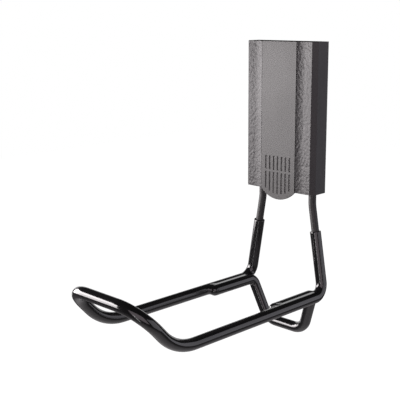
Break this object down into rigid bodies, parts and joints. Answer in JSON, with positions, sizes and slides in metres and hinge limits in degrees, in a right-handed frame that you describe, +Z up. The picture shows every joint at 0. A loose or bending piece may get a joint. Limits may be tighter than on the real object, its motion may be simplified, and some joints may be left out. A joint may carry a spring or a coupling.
{
  "type": "bicycle wall rack",
  "caption": "Bent steel wall hook with two arms and an upturned front loop, a brace under them, a dipped vinyl coating and a pull-off cover over its wall plate.",
  "frame": {"origin": "middle of the wall plate's back face, on the wall plane", "axes": "+Y into the wall, -Y the way the arms stand out of it, +Z up, +X to the right as seen from the front"},
  "size_m": [0.1308, 0.315, 0.3693],
  "materials": {
    "rod_steel": "satin black paint",
    "coating_vinyl": "glossy dipped vinyl",
    "plate_steel": "matt black paint",
    "weld_steel": "painted weld",
    "cover_plastic": "pebbled moulding",
    "strip_plastic": "satin moulding",
    "spring_steel": "bright spring steel",
    "zinc_steel": "zinc plated"
  },
  "bodies": {
    "frame": {"wall_plate": "plate_steel", "hook_rod": "rod_steel", "brace_rod": "rod_steel", "vinyl_coating": "coating_vinyl", "brace_weld_left_front": "weld_steel", "brace_weld_left_rear": "weld_steel", "rod_weld_left_lower_inner": "weld_steel", "rod_weld_left_lower_outer": "weld_steel", "cover_clip_left_lower": "spring_steel", "clip_rivet_left_lower": "zinc_steel", "rod_weld_left_upper_inner": "weld_steel", "rod_weld_left_upper_outer": "weld_steel", "cover_clip_left_upper": "spring_steel", "clip_rivet_left_upper": "zinc_steel", "brace_weld_right_front": "weld_steel", "brace_weld_right_rear": "weld_steel", "rod_weld_right_lower_inner": "weld_steel", "rod_weld_right_lower_outer": "weld_steel", "cover_clip_right_lower": "spring_steel", "clip_rivet_right_lower": "zinc_steel", "rod_weld_right_upper_inner": "weld_steel", "rod_weld_right_upper_outer": "weld_steel", "cover_clip_right_upper": "spring_steel", "clip_rivet_right_upper": "zinc_steel"},
    "cover": {"front_cover": "cover_plastic", "centre_strip": "strip_plastic", "strip_screw_left_lower": "zinc_steel", "strip_screw_left_upper": "zinc_steel", "strip_screw_right_lower": "zinc_steel", "strip_screw_right_upper": "zinc_steel"}
  },
  "joints": [
    {"name": "cover_pull_off", "type": "slide", "parent": "frame", "child": "cover", "axis": [0, -1, 0], "range_m": [0, 0.04]}
  ]
}
